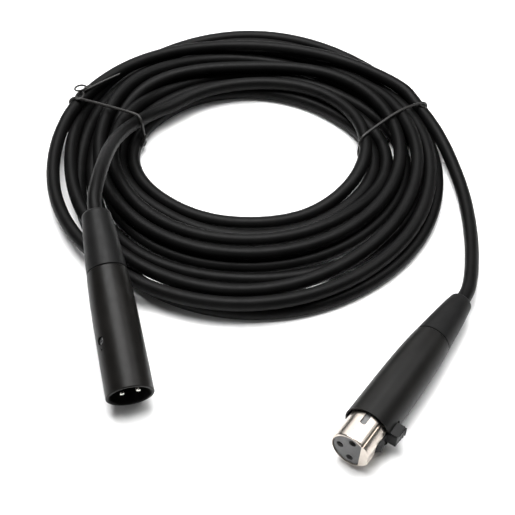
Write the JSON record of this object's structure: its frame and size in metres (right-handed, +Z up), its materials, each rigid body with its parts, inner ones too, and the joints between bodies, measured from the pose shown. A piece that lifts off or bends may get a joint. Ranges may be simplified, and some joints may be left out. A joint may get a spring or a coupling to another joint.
{
  "type": "xlr cable coil",
  "caption": "Coiled balanced microphone cable with a male and a latching female plug, held by two wire ties and lying flat.",
  "frame": {"origin": "middle of the whole lead's footprint, on the surface that it lies on", "axes": "+Z up; -Y towards the side that both plug mouths point to; +X towards the female plug"},
  "size_m": [0.1903, 0.2638, 0.0372],
  "materials": {
    "cable_jacket": "satin flexible jacket",
    "tie_wire": "plastic-coated wire",
    "black_barrel": "satin black coating on metal",
    "black_insert": "moulded",
    "black_boot": "matte moulded rubber",
    "clamp_plastic": "moulded",
    "contact_silver": "silver plated",
    "core_red": "insulation",
    "core_white": "insulation",
    "tinned_copper": "tinned copper strands",
    "nickel": "bright nickel plate",
    "grey_insert": "moulded",
    "black_sleeve": "satin moulded",
    "latch_black": "moulded",
    "steel": "bright"
  },
  "bodies": {
    "lead": {"male_shell": "black_barrel", "male_insert": "black_insert", "male_insert_screw": "steel", "male_boot": "black_boot", "male_cable_clamp": "clamp_plastic", "male_cable_end": "cable_jacket", "male_pin_1": "contact_silver", "male_pin_2": "contact_silver", "male_pin_3": "contact_silver", "male_core_hot": "core_red", "male_core_cold": "core_white", "male_drain_wire": "tinned_copper", "female_shell": "nickel", "female_insert": "grey_insert", "female_sleeve": "black_sleeve", "female_boot": "black_boot", "female_cable_clamp": "clamp_plastic", "female_cable_end": "cable_jacket", "latch_pin": "steel", "latch_spring": "steel", "female_contact_1": "contact_silver", "female_contact_2": "contact_silver", "female_contact_3": "contact_silver", "female_core_hot": "core_red", "female_core_cold": "core_white", "female_drain_wire": "tinned_copper", "male_tail": "cable_jacket", "female_tail": "cable_jacket", "cable_coil": "cable_jacket", "tie_left": "tie_wire", "tie_right": "tie_wire"},
    "latch": {"latch_lever": "latch_black"}
  },
  "joints": [
    {"name": "latch_press", "type": "hinge", "parent": "lead", "child": "latch", "pos_m": [0.0545, -0.10665, 0.00895], "axis": [-0.0668, 0.0256, -0.9974], "range_deg": [0, 3.5], "stiffness_Nm_per_rad": 0.3, "springref_deg": -2.86}
  ]
}
